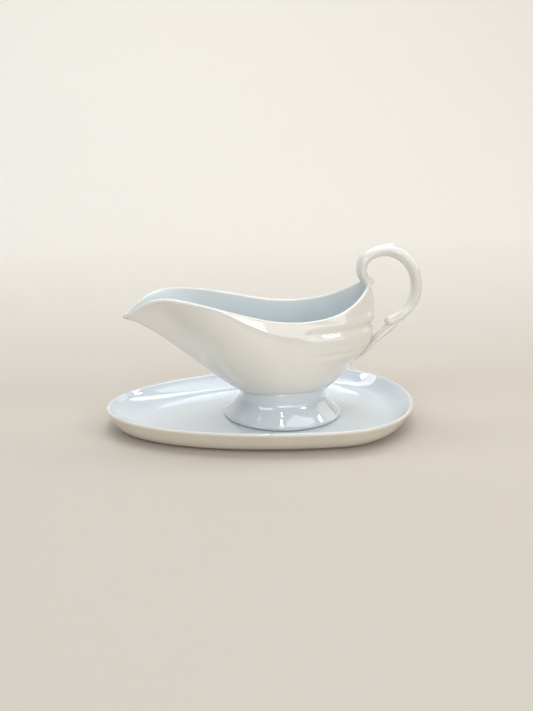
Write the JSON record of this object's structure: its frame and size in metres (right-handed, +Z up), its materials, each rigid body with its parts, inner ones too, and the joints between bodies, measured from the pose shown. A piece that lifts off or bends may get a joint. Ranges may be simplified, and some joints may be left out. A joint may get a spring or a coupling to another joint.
{
  "type": "gravy boat",
  "caption": "White porcelain sauce boat with a pouring spout, a pedestal foot and a high loop handle, standing on its own oval underplate.",
  "frame": {"origin": "middle of the underplate's length and width, on its flat base", "axes": "+X along the length from the spout to the handle, +Z up"},
  "size_m": [0.2439, 0.161, 0.1357],
  "materials": {
    "underplate_glaze": "glossy white glazed porcelain, opaque, faint blue-green where the glaze pools",
    "foot_glaze": "glossy white glazed porcelain, opaque",
    "bowl_glaze": "glossy warm white glazed porcelain, opaque",
    "handle_glaze": "glossy warm white glazed porcelain, opaque"
  },
  "bodies": {
    "stand": {"underplate": "underplate_glaze"},
    "boat": {"pedestal_foot": "foot_glaze", "bowl": "bowl_glaze", "back_strap": "bowl_glaze", "handle_loop": "handle_glaze", "handle_lower_arm": "handle_glaze", "handle_curl": "handle_glaze", "handle_crest": "handle_glaze"}
  },
  "joints": [
    {"name": "boat_lift", "type": "slide", "parent": "stand", "child": "boat", "axis": [0, 0, 1], "range_m": [0, 0.08]}
  ]
}
